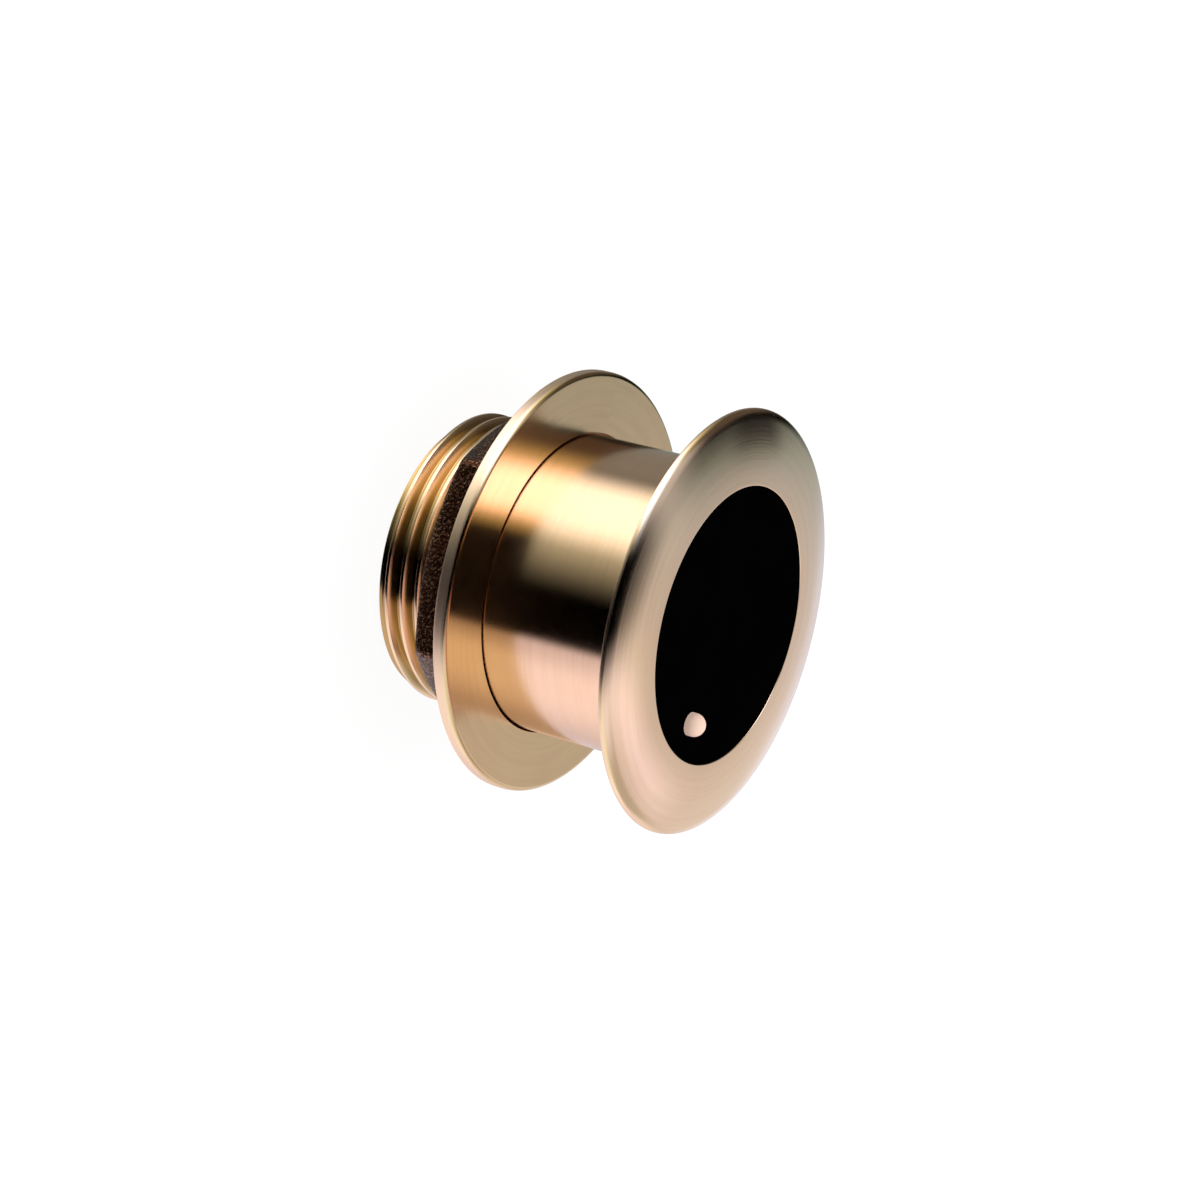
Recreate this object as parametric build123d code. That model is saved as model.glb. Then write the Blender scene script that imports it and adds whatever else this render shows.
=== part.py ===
from build123d import *
import os
from math import cos, radians, sin, tan

# Through-hull sonar transducer, in millimetres. The stem's axis is Z: the threaded
# end stands on z = 0 and the sensing face looks up. Two corners of the hexagon are on X.

# Housing: crowned flange, smooth stem and threaded end, one bronze casting
body_length = 99.8
flange_radius = 66.5
flange_edge = 1.9
flange_rise = 3.35
flange_crown = 100.0
stem_radius = 47.5
stem_root_bevel = 1.2
bore_radius = 40.0
window_seat_radius = 43.5
window_seat_depth = 9.0
lip_width = 0.6
edge_break = 0.35
rim_break = 1.3

# Thread on the stem and in the nut
thread_pitch = 5.6
thread_radius = 46.8
thread_depth = 2.9
crest_width = 0.9
root_width = 1.1
thread_clearance = 0.25
thread_chamfer = 2.4
ridge_bite = 0.4
seam_tolerance = 0.001

# Hull nut: turned disc and hexagonal boss, one bronze casting
hull_gap = 53.3
disc_radius = 67.4
disc_thickness = 4.3
disc_front_break = 1.4
disc_back_break = 0.5
stem_clearance = 0.55
counterbore_depth = 9.0
nut_travel = 3.75
relief_width = 2.5
hex_across_flats = 104.0
hex_corner_radius = 3.0
boss_height = 16.45
boss_face_radius = 51.5
boss_chamfer_angle = 27.0

# Acoustic window
window_drop = 0.15
window_web = 3.2

# Temperature sensor, near the window's edge
probe_offset = 32.8
probe_angle = -18.3
probe_radius = 3.65
probe_rise = 1.3
probe_length = 14.9
probe_wall = 1.35
probe_bore_radius = 2.0
drill_slope_angle = 31.0
sleeve_wall = 0.95
sleeve_drop = 2.0
sleeve_overhang = 1.3
bead_radius = 1.7
bead_length = 4.0
bead_gap = 0.1
thermistor_lead_radius = 0.35
thermistor_lead_spread = 0.8

# Tilted element and its carrier
tilt = 20.0
ceramic_radius = 26.0
ceramic_thickness = 10.0
isolation_wall = 2.0
backing_thickness = 3.0
carrier_clearance = 0.15
carrier_floor = 3.2
lead_radius = 0.6
lead_hole_radius = 1.4
signal_lead_place = (-6.0, 8.0)
return_lead_place = (-4.0, -18.0)

# Terminal board under the carrier, and what it carries
board_thickness = 1.6
board_headroom = 6.0
board_clearance = 0.2
skirt_wall = 3.8
skirt_lip = 2.4
ledge_width = 1.8
pin_width = 1.0
pin_stand = 1.2
pin_tail = 3.0
pin_row = 24.0
pin_pitch = 4.0
pin_count = 4
chip_length = 6.0
chip_width = 5.0
chip_thickness = 1.4
chip_offset = 24.0
core_inner_radius = 8.0
core_outer_radius = 14.0
core_height = 9.0
winding_thickness = 1.5
winding_arc = 150.0
strap_width = 5.0
strap_thickness = 0.8
strap_inset = 3.0
strap_cover = 0.4

# Rear potting and cable gland
potting_drop = 1.5
gland_mouth = 0.8
gland_nut_height = 6.5
gland_nut_flats = 20.0
gland_nut_floor = 2.0
gland_nut_gap = 0.7
gland_recess_radius = 14.5
gland_shank_radius = 8.0
gland_thread_clearance = 0.1
gland_shank_gap = 2.0
gland_collar_radius = 10.5
gland_collar_height = 3.0
gland_tail_radius = 7.0
gland_tail_gap = 4.0
cable_bore_radius = 4.3
cable_mouth_radius = 4.6
seal_radius = 6.5
seal_bore_radius = 4.1
seal_height = 6.0

# Levels, upwards from the threaded end
face_z = body_length
rim_z = face_z - flange_rise
flange_back_z = rim_z - flange_edge
nut_front_z = flange_back_z - hull_gap
nut_back_z = nut_front_z - disc_thickness
nut_rear_z = nut_back_z - boss_height
nut_thread_top_z = nut_front_z - counterbore_depth
shoulder_z = nut_thread_top_z + nut_travel
thread_top_z = shoulder_z - relief_width
window_seat_z = face_z - window_seat_depth
window_top_z = face_z - window_drop
element_z = window_seat_z - window_web - bore_radius * tan(radians(tilt))
pocket_depth = ceramic_thickness + backing_thickness
pocket_radius = ceramic_radius + isolation_wall
pocket_low_z = element_z - pocket_depth * cos(radians(tilt)) - pocket_radius * sin(radians(tilt))
board_top_z = pocket_low_z - carrier_floor - board_headroom
board_low_z = board_top_z - board_thickness
carrier_low_z = board_low_z - skirt_lip
winding_low_z = board_low_z - core_height - 2 * winding_thickness
probe_nose_z = window_top_z + probe_rise
probe_low_z = probe_nose_z - probe_length
probe_bore_top_z = probe_nose_z + probe_radius - probe_wall
sleeve_low_z = probe_low_z - sleeve_overhang
gland_seat_z = gland_mouth + gland_nut_floor
gland_recess_z = gland_mouth + gland_nut_height + gland_nut_gap
gland_top_z = winding_low_z - gland_tail_gap

# Radii worked out from the sizes above
thread_root_radius = thread_radius - thread_depth
flank_run = (thread_pitch - crest_width - root_width) / 2
nut_crest_radius = thread_root_radius + thread_clearance
nut_bore_radius = thread_radius + thread_clearance
lip_radius = window_seat_radius + lip_width
carrier_radius = bore_radius - carrier_clearance
board_pocket_radius = carrier_radius - skirt_wall
board_radius = board_pocket_radius - board_clearance
ledge_radius = board_pocket_radius - ledge_width
sleeve_radius = probe_radius + sleeve_wall

from_bottom = (Align.CENTER, Align.CENTER, Align.MIN)
from_top = (Align.CENTER, Align.CENTER, Align.MAX)
over_all = 4 * flange_radius
probe_place = (probe_offset, 0)
lean = Plane(
    origin=(0, 0, element_z),
    x_dir=(cos(radians(tilt)), 0, -sin(radians(tilt))),
    z_dir=(sin(radians(tilt)), 0, cos(radians(tilt))),
)


def post(radius, low, high, place=(0, 0)):
    """A round bar standing from low to high."""
    return Pos(*place, low) * Cylinder(radius, high - low, align=from_bottom)


def tube(outer, inner, low, high, place=(0, 0)):
    return post(outer, low, high, place) - post(inner, low, high, place)


def turned(*points):
    """The solid of revolution of an outline of radii and heights."""
    return revolve(Plane.XZ * make_face(Polyline(*points, close=True)), Axis.Z)


def hexagon(flats, low, high, corner_radius):
    """A hexagonal bar with two of its corners on X."""
    section = RegularPolygon(flats / 2, 6, major_radius=False)
    section = fillet(section.vertices(), corner_radius)
    return Pos(0, 0, low) * extrude(section, high - low)


def leaning_bar(radius, top, place=(0, 0)):
    """A round bar square to the element, from a depth under its face to below the board."""
    return lean * Pos(*place, -top) * Cylinder(radius, body_length, align=from_top)


def above_element():
    return lean * Box(over_all, over_all, over_all, align=from_bottom)


def ridge_half_width(radius):
    """Half the width along the axis, at a radius, of the ridge of the stem's thread."""
    return crest_width / 2 + flank_run * (thread_radius - radius) / thread_depth


def thread_ridge(radius, steps, phase, low, high):
    """A helical ridge from below low to above high.

    steps pairs each height over radius with the ridge's half width there.
    """
    path = Helix(pitch=thread_pitch, height=high - low + 3 * thread_pitch, radius=radius)
    outline = [(x, -half) for x, half in steps] + [(x, half) for x, half in reversed(steps)]
    across = Plane(origin=path @ 0, x_dir=(1, 0, 0), z_dir=path % 0)
    section = across * make_face(Polyline(*outline, close=True))
    start = (low // thread_pitch - 1 + phase) * thread_pitch
    return Pos(0, 0, start) * sweep(section, path=path, is_frenet=True)


def stem_thread():
    foot = ridge_half_width(thread_root_radius)
    steps = [(-ridge_bite, foot), (0, foot), (thread_depth, crest_width / 2)]
    ridge = thread_ridge(thread_root_radius, steps, 0, 0, thread_top_z)
    cone_radius = thread_radius - thread_chamfer
    cone_top = 2 * thread_chamfer
    trimmed = ridge.intersect(
        turned(
            (0, 0),
            (cone_radius, 0),
            (cone_radius + cone_top, cone_top),
            (cone_radius + cone_top, thread_top_z),
            (0, thread_top_z),
        )
    )
    return trimmed.solids()


def nut_thread():
    foot = thread_pitch / 2 - ridge_half_width(nut_bore_radius) - thread_clearance
    crest = thread_pitch / 2 - ridge_half_width(nut_crest_radius) - thread_clearance
    steps = [(nut_crest_radius - nut_bore_radius, crest), (0, foot), (ridge_bite, foot)]
    ridge = thread_ridge(nut_bore_radius, steps, 0.5, nut_rear_z, nut_thread_top_z)
    lead_in = thread_depth / 2
    outside = nut_bore_radius + 2 * ridge_bite
    trimmed = ridge.intersect(
        turned(
            (outside, nut_rear_z),
            (nut_crest_radius + lead_in, nut_rear_z),
            (nut_crest_radius - lead_in, nut_rear_z + 2 * lead_in),
            (nut_crest_radius - lead_in, nut_thread_top_z),
            (outside, nut_thread_top_z),
        )
    )
    return trimmed.solids()


def housing_section():
    """Half the housing's section, from the lip round the window, down the bore and up the outside."""
    rim, lip = (flange_radius, rim_z), (lip_radius, face_z)
    outline = Polyline(
        lip,
        (window_seat_radius, face_z),
        (window_seat_radius, window_seat_z),
        (bore_radius, window_seat_z),
        (bore_radius, 0),
        (thread_root_radius, 0),
        (thread_root_radius, shoulder_z),
        (thread_radius, shoulder_z),
        (stem_radius, shoulder_z + stem_radius - thread_radius),
        (stem_radius, flange_back_z),
        (flange_radius, flange_back_z),
        rim,
    ) + RadiusArc(rim, lip, -flange_crown)
    section = make_face(outline)
    corners = [
        ((stem_radius, flange_back_z), stem_root_bevel),
        ((flange_radius, flange_back_z), edge_break),
        (rim, rim_break),
    ]
    for corner, cut in corners:
        section = chamfer(section.vertices().sort_by_distance(corner)[0], cut)
    return section


def housing():
    body = revolve(Plane.XZ * housing_section(), Axis.Z)
    return body.fuse(*stem_thread(), tol=seam_tolerance)


def hull_nut():
    disc = turned(
        (0, nut_back_z),
        (disc_radius - disc_back_break, nut_back_z),
        (disc_radius, nut_back_z + disc_back_break),
        (disc_radius, nut_front_z - disc_front_break),
        (disc_radius - disc_front_break, nut_front_z),
        (0, nut_front_z),
    )
    reach = hex_across_flats - boss_face_radius
    rise = reach * tan(radians(boss_chamfer_angle))
    cone = turned(
        (0, nut_rear_z),
        (boss_face_radius, nut_rear_z),
        (boss_face_radius + reach, nut_rear_z + rise),
        (boss_face_radius + reach, nut_front_z),
        (0, nut_front_z),
    )
    boss = hexagon(hex_across_flats, nut_rear_z, nut_back_z, hex_corner_radius) & cone
    body = disc + boss
    body -= post(nut_bore_radius, nut_rear_z, nut_front_z)
    body -= post(stem_radius + stem_clearance, nut_thread_top_z, nut_front_z)
    return body.fuse(*nut_thread(), tol=seam_tolerance)


def thermistor_hole(low, high):
    return post(probe_bore_radius, low, high, probe_place)


def drilled(radius, low, high):
    """A round bar in the probe's place with the point that a drill leaves at its top."""
    point = radius * tan(radians(drill_slope_angle))
    return Pos(*probe_place, 0) * turned((0, low), (radius, low), (radius, high - point), (0, high))


def face_window():
    body = post(window_seat_radius, window_seat_z, window_top_z)
    body += post(bore_radius, 0, window_seat_z) & above_element()
    body -= post(probe_radius, sleeve_low_z, face_z, probe_place)
    body -= post(sleeve_radius, sleeve_low_z, window_top_z - sleeve_drop, probe_place)
    return body - thermistor_hole(0, sleeve_low_z)


def probe_tip():
    """Closed tube with a round nose, drilled from below for the thermistor."""
    body = post(probe_radius, probe_low_z, probe_nose_z, probe_place)
    body += Pos(*probe_place, probe_nose_z) * Sphere(probe_radius)
    return body - drilled(probe_bore_radius, probe_low_z, probe_bore_top_z)


def probe_sleeve():
    top = window_top_z - sleeve_drop
    shell = post(sleeve_radius, sleeve_low_z, top, probe_place)
    shell -= post(probe_radius, probe_low_z, top, probe_place)
    return shell - thermistor_hole(sleeve_low_z, probe_low_z)


def thermistor_bead():
    top = probe_bore_top_z - bead_gap
    return drilled(bead_radius, top - bead_length, top)


def thermistor_lead(side):
    place = (probe_offset, side * thermistor_lead_spread)
    return post(thermistor_lead_radius, board_top_z, probe_bore_top_z - bead_gap - bead_length, place)


def ceramic_disc():
    return lean * Cylinder(ceramic_radius, ceramic_thickness, align=from_top)


def isolation_sleeve():
    outside = Cylinder(pocket_radius, pocket_depth, align=from_top)
    return lean * (outside - Cylinder(ceramic_radius, pocket_depth, align=from_top))


def backing_pad():
    pad = Pos(0, 0, -ceramic_thickness) * Cylinder(ceramic_radius, backing_thickness, align=from_top)
    return lean * pad - lead_holes()


def lead_holes():
    signal = leaning_bar(lead_hole_radius, ceramic_thickness, signal_lead_place)
    return signal + leaning_bar(lead_hole_radius, ceramic_thickness, return_lead_place)


def element_carrier():
    body = post(carrier_radius, carrier_low_z, window_seat_z) - above_element()
    body -= lean * Cylinder(pocket_radius, pocket_depth, align=from_top)
    body -= post(ledge_radius, board_top_z, pocket_low_z - carrier_floor)
    body -= post(board_pocket_radius, carrier_low_z, board_top_z)
    body -= lead_holes()
    return body - thermistor_hole(carrier_low_z, window_seat_z)


def element_lead(place):
    bar = leaning_bar(lead_radius, ceramic_thickness, place)
    return bar & post(over_all, board_top_z, face_z)


def pin_places():
    middle = (pin_count - 1) / 2
    return [(-pin_row, (i - middle) * pin_pitch) for i in range(pin_count)]


def terminal_pins():
    """One node with a separate solid for each square pin."""
    length = pin_tail + board_thickness + pin_stand
    pin = Box(pin_width, pin_width, length, align=from_bottom)
    pins = Part()
    for place in pin_places():
        pins += Pos(*place, board_low_z - pin_tail) * pin
    return pins


def terminal_board():
    return post(board_radius, board_low_z, board_top_z) - terminal_pins()


def id_chip():
    chip = Box(chip_length, chip_width, chip_thickness, align=from_top)
    return Pos(chip_offset, 0, board_low_z) * chip


def upright(inner, outer, low, high):
    """An upright rectangle between two radii and two heights."""
    return make_face(Polyline((inner, low), (outer, low), (outer, high), (inner, high), close=True))


def transformer_core():
    low = winding_low_z + winding_thickness
    return tube(core_outer_radius, core_inner_radius, low, low + core_height)


def winding(start):
    """A winding wrapped round part of the core, as one solid."""
    wall = winding_thickness
    section = upright(core_inner_radius - wall, core_outer_radius + wall, winding_low_z, board_low_z)
    section -= upright(core_inner_radius, core_outer_radius, winding_low_z + wall, board_low_z - wall)
    return Rot(0, 0, start) * revolve(Plane.XZ * section, Axis.Z, revolution_arc=winding_arc)


def ground_strap():
    """An angle of copper strip from the board's underside to the housing's bore."""
    inner = board_pocket_radius - strap_inset
    low = carrier_low_z - strap_cover - strap_thickness
    from_corner = (Align.CENTER, Align.MIN, Align.MIN)
    foot = Box(strap_width, over_all, strap_thickness, align=from_corner)
    leg = Box(strap_width, strap_thickness, board_low_z - low, align=from_corner)
    return (Pos(0, inner, low) * (foot + leg)) & post(bore_radius, 0, board_low_z)


def transformer_parts():
    gap = (180 - winding_arc) / 2
    return {
        "transformer_core": transformer_core(),
        "primary_winding": winding(gap),
        "secondary_winding": winding(180 + gap),
    }


def gland_body():
    body = post(gland_shank_radius, gland_seat_z + gland_shank_gap, gland_recess_z)
    body += post(gland_collar_radius, gland_recess_z, gland_recess_z + gland_collar_height)
    body += post(gland_tail_radius, gland_recess_z + gland_collar_height, gland_top_z)
    body -= post(seal_radius, gland_seat_z, gland_seat_z + seal_height)
    return body - post(cable_bore_radius, gland_seat_z, gland_top_z)


def gland_seal():
    return tube(seal_radius, seal_bore_radius, gland_seat_z, gland_seat_z + seal_height)


def gland_nut():
    body = hexagon(gland_nut_flats, gland_mouth, gland_mouth + gland_nut_height, edge_break)
    body -= post(gland_shank_radius + gland_thread_clearance, gland_seat_z, gland_recess_z)
    return body - post(cable_mouth_radius, gland_mouth, gland_seat_z)


def rear_potting(held):
    """Resin that fills the bore under the board, round everything held there."""
    body = post(bore_radius, potting_drop, carrier_low_z)
    body += post(board_pocket_radius, carrier_low_z, board_low_z)
    body -= post(gland_recess_radius, potting_drop, gland_recess_z)
    body -= post(gland_collar_radius, gland_recess_z, gland_recess_z + gland_collar_height)
    body -= post(gland_tail_radius, gland_recess_z, gland_top_z)
    for piece in held:
        body -= piece
    return body


def make_parts():
    parts = {
        "face_window": face_window(),
        "probe_tip": probe_tip(),
        "probe_sleeve": probe_sleeve(),
        "thermistor_bead": thermistor_bead(),
        "thermistor_lead_a": thermistor_lead(1),
        "thermistor_lead_b": thermistor_lead(-1),
        "ceramic_disc": ceramic_disc(),
        "isolation_sleeve": isolation_sleeve(),
        "backing_pad": backing_pad(),
        "element_carrier": element_carrier(),
        "signal_lead": element_lead(signal_lead_place),
        "return_lead": element_lead(return_lead_place),
        "terminal_board": terminal_board(),
        "terminal_pins": terminal_pins(),
        "id_chip": id_chip(),
        "ground_strap": ground_strap(),
    }
    parts.update(transformer_parts())
    potted = ("terminal_pins", "id_chip", "ground_strap", *transformer_parts())
    parts["rear_potting"] = rear_potting([parts[name] for name in potted])
    parts = {name: Rot(0, 0, probe_angle) * solid for name, solid in parts.items()}
    parts["housing"] = housing()
    parts["hull_nut"] = hull_nut()
    parts["gland_body"] = gland_body()
    parts["gland_seal"] = gland_seal()
    parts["gland_nut"] = gland_nut()
    return parts


os.makedirs("parts", exist_ok=True)
for node, solid in make_parts().items():
    export_step(solid, f"parts/{node}.step")
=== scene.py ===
import math

import bmesh
import bpy
from mathutils import Matrix, Vector


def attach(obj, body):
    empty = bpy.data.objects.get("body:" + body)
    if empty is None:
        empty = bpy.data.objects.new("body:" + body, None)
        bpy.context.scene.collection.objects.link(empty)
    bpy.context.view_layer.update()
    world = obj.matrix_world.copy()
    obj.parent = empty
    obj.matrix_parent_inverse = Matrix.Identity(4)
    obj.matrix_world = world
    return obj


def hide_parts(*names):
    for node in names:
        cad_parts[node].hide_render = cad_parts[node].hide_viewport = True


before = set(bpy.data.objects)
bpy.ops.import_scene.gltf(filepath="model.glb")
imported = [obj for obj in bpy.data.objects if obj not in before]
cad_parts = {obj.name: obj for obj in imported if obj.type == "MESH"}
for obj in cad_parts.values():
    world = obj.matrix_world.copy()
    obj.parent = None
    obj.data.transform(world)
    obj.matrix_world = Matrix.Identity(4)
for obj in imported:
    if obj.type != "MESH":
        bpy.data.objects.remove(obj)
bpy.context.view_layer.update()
print("frame loaded:", len(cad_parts), "nodes")

mm = 0.001  # the shapes' sizes are in millimetres
levelSlack = 0.01 * mm  # how far from a level a vertex still counts as on it
cutSlack = 1e-7  # the same for a vertex on a cutting plane
sharpAngle = 35  # degrees; edges that turn by more stay crisp
roundSteps = 4  # segments of the smallest rounding


# Shader maths

class Wire:
    # a node's output that takes part in sums
    def __init__(self, paint, socket):
        self.paint = paint
        self.socket = socket

    def maths(self, operation, first, second):
        return self.paint.node("ShaderNodeMath", {"operation": operation}, {0: first, 1: second})[0]

    def __add__(self, other):
        return self.maths("ADD", self, other)

    def __sub__(self, other):
        return self.maths("SUBTRACT", self, other)

    def __rsub__(self, other):
        return self.maths("SUBTRACT", other, self)

    def __mul__(self, other):
        return self.maths("MULTIPLY", self, other)

    def __truediv__(self, other):
        return self.maths("DIVIDE", self, other)

    def __rtruediv__(self, other):
        return self.maths("DIVIDE", other, self)

    __radd__ = __add__
    __rmul__ = __mul__


class Paint:
    # the nodes of one material or of the world
    def __init__(self, owner):
        owner.use_nodes = True
        self.owner = owner
        self.tree = owner.node_tree
        self.tree.nodes.clear()

    def node(self, kind, settings, inputs):
        made = self.tree.nodes.new(kind)
        for name, value in settings.items():
            setattr(made, name, value)
        for name, value in inputs.items():
            if isinstance(value, Wire):
                self.tree.links.new(value.socket, made.inputs[name])
            else:
                made.inputs[name].default_value = value
        return [Wire(self, socket) for socket in made.outputs if socket.enabled]

    def place(self):
        return self.node("ShaderNodeTexCoord", {}, {})[3]  # Object coordinates

    def rays(self):
        outputs = self.node("ShaderNodeLightPath", {}, {})
        return outputs[0], outputs[3]  # Is Camera Ray and Is Glossy Ray

    def split(self, vector):
        return self.node("ShaderNodeSeparateXYZ", {}, {0: vector})

    def join(self, x, y, z):
        return self.node("ShaderNodeCombineXYZ", {}, {0: x, 1: y, 2: z})[0]

    def noise(self, vector, scale, detail, roughness):
        inputs = {"Vector": vector, "Scale": scale, "Detail": detail, "Roughness": roughness}
        return self.node("ShaderNodeTexNoise", {}, inputs)[0]

    def between(self, value, low, high, outLow=0.0, outHigh=1.0):
        # eased from outLow, where the value is low, to outHigh, where it is high
        inputs = {
            "Value": value, "From Min": low, "From Max": high, "To Min": outLow, "To Max": outHigh,
        }
        return self.node("ShaderNodeMapRange", {"interpolation_type": "SMOOTHSTEP"}, inputs)[0]

    def mix(self, share, first, second, blend="MIX"):
        settings = {"data_type": "RGBA", "blend_type": blend}
        inputs = {0: share, 6: colour4(first), 7: colour4(second)}  # 6 and 7 are its colours
        return self.node("ShaderNodeMix", settings, inputs)[0]

    def bump(self, height, depth):
        inputs = {"Height": height, "Distance": depth, "Strength": 1.0}
        return self.node("ShaderNodeBump", {}, inputs)[0]

    def finish(self, inputs):
        shader = self.node("ShaderNodeBsdfPrincipled", {}, inputs)[0]
        self.node("ShaderNodeOutputMaterial", {}, {0: shader})
        return self.owner


def colour4(colour):
    return colour if isinstance(colour, Wire) or len(colour) == 4 else (*colour, 1.0)


def newPaint(name):
    return Paint(bpy.data.materials.new(name))


# Materials

def turnedBronze(name, look):
    # cutting marks run round the axis, so the noise is drawn out along the turn
    paint = newPaint(name)
    x, y, z = paint.split(paint.place())
    radius = paint.node("ShaderNodeMath", {"operation": "SQRT"}, {0: x * x + y * y})[0]
    turn = paint.node("ShaderNodeMath", {"operation": "ARCTAN2"}, {0: y, 1: x})[0]
    along = turn * look["marksPerTurn"]
    perMetre = look["finePerMetre"]
    fine = paint.noise(paint.join(radius * perMetre, z * perMetre, along), 1.0, *look["fineGrain"])
    perMetre = look["widePerMetre"]
    wide = paint.noise(paint.join(radius * perMetre, z * perMetre, along), 1.0, *look["wideGrain"])
    cloud = paint.noise(paint.place(), look["cloudPerMetre"], *look["cloudGrain"])
    warm = paint.between(cloud, *look["warmRange"])
    metal = paint.mix(warm, look["paleColour"], look["warmColour"])
    marked = paint.between(wide, *look["markRange"]) * look["markTint"]
    metal = paint.mix(marked, metal, look["markColour"])
    # a paler band at the outermost radii: partly wear on the edge, partly a painted highlight along
    # the rim
    rimWearAndHighlight = paint.between(radius, *look["rimWearAndHighlightRadius"])
    metal = paint.mix(rimWearAndHighlight, metal, look["rimWearAndHighlightColour"])
    # painted shade: below the thread's level its inner radii are painted darker, fading to the
    # crest colour at its outer radii
    crest = paint.between(radius, *look["threadShadeRadius"])
    rootShadedThread = paint.mix(crest, look["threadShadeColour"], look["crestColour"])
    metal = paint.mix(paint.between(z, *look["threadLevel"]), rootShadedThread, metal)
    swing = fine + wide + cloud - 1.5  # each noise swings about 0.5
    polish = look["roughness"] + swing * look["roughnessSwing"] + rimWearAndHighlight * look["wornRoughness"]
    return paint.finish({
        "Base Color": metal,
        "Metallic": paint.mix(rimWearAndHighlight, (1.0, 1.0, 1.0), look["wornMetal"]),
        "Roughness": polish,
        "Anisotropic": look["drawnOut"],
        "Anisotropic Rotation": look["drawnAcross"],
        "Normal": paint.bump(fine + wide * look["wideDepth"], look["markDepth"]),
    })


def castBronze(name, look):
    # sand-cast skin, browner than the turned faces
    paint = newPaint(name)
    place = paint.place()
    pebbles = paint.noise(place, look["pebblesPerMetre"], *look["pebbleGrain"])
    lumps = paint.noise(place, look["lumpsPerMetre"], *look["lumpGrain"])
    # the pits are painted darker as painted shade and the raised grains lighter as painted
    # highlight, over the cast skin's own brown
    raisedAndLit = paint.between(pebbles, *look["raisedRange"])
    metal = paint.mix(raisedAndLit, look["shadedHollowColour"], look["litRaisedColour"])
    stained = paint.between(lumps, *look["stainRange"]) * look["stainTint"]
    metal = paint.mix(stained, metal, look["stainColour"])
    ends = look["roughHollow"], look["roughRaised"]
    return paint.finish({
        "Base Color": metal,
        "Metallic": 1.0,
        "Roughness": paint.between(pebbles, *look["roughRange"], *ends),
        "Normal": paint.bump(pebbles + lumps * look["lumpDepth"], look["pebbleDepth"]),
    })


def plainSolid(name, look):
    # plastics, rubbers, ceramics and small metal parts: a mottled colour over a fine skin
    paint = newPaint(name)
    place = paint.place()
    mottle = paint.noise(place, look["mottlePerMetre"], *plainGrain["mottle"])
    skin = paint.noise(place, look["skinPerMetre"], *plainGrain["skin"])
    second = paint.between(mottle, *plainGrain["colourRange"])
    return paint.finish({
        "Base Color": paint.mix(second, look["colour"], look["secondColour"]),
        "Metallic": look.get("metallic", 0.0),
        "Roughness": paint.between(mottle, *plainGrain["roughRange"], *look["roughness"]),
        "Specular IOR Level": look.get("specular", 0.5),
        "Normal": paint.bump(skin, look["skinDepth"]),
    })


# a grain is a noise's detail and roughness; a range is where a noise's values fade in

stemLook = {
    "paleColour": (0.9, 0.62, 0.47),
    "warmColour": (0.9, 0.61, 0.45),
    "markColour": (0.78, 0.52, 0.36),
    "markTint": 0.3,
    "markRange": (0.35, 0.75),
    "warmRange": (0.35, 0.7),
    "finePerMetre": 2600.0,
    "fineGrain": (2.0, 0.6),
    "widePerMetre": 620.0,
    "wideGrain": (3.0, 0.6),
    "wideDepth": 2,
    "marksPerTurn": 1.2,
    "cloudPerMetre": 30.0,
    "cloudGrain": (4.0, 0.55),
    # the flange rim's paler band: partly wear, partly a painted rim highlight
    "rimWearAndHighlightRadius": (0.0661, 0.0665),  # metres
    "rimWearAndHighlightColour": (0.92, 0.66, 0.52),
    "wornRoughness": 0.2,
    "wornMetal": (1.0, 1.0, 1.0),
    # the thread's painted shade: the darker colour at its inner radii, and the radii over which it
    # fades out
    "threadLevel": (0.0345, 0.036),  # metres
    "threadShadeRadius": (0.0452, 0.0468),  # metres
    "threadShadeColour": (0.5, 0.32, 0.15),
    "crestColour": (0.9, 0.64, 0.48),
    "roughness": 0.155,
    "roughnessSwing": 0.05,
    "drawnOut": 0.88,
    "drawnAcross": 0.25,  # a quarter turn: reflections spread across the cutting marks
    "markDepth": 0.000006,
}
nutLook = {
    **stemLook,
    "paleColour": (0.78, 0.54, 0.34),
    "warmColour": (0.76, 0.51, 0.32),
    "markColour": (0.62, 0.4, 0.25),
    # the disc rim's paler band: partly wear, partly a painted rim highlight
    "rimWearAndHighlightRadius": (0.067, 0.0673),  # metres
    "rimWearAndHighlightColour": (0.96, 0.7, 0.55),
    "wornRoughness": 0.25,
    "wornMetal": (0.95, 0.95, 0.95),
    "roughness": 0.15,
}
castLook = {
    # painted shade in the pits and painted highlight on the raised grains
    "shadedHollowColour": (0.038, 0.011, 0.006),
    "litRaisedColour": (0.23, 0.12, 0.08),
    "stainColour": (0.09, 0.03, 0.016),
    "raisedRange": (0.48, 0.62),
    "stainRange": (0.45, 0.75),
    "stainTint": 0.5,
    "pebblesPerMetre": 1100.0,
    "pebbleGrain": (2.0, 0.55),
    "lumpsPerMetre": 160.0,
    "lumpGrain": (2.0, 0.5),
    "lumpDepth": 0.6,
    "roughRange": (0.3, 0.7),
    "roughHollow": 0.34,
    "roughRaised": 0.2,
    "pebbleDepth": 0.00045,
}
plainGrain = {
    "mottle": (4.0, 0.55),
    "skin": (3.0, 0.6),
    "colourRange": (0.3, 0.7),
    "roughRange": (0.25, 0.75),
}
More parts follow.
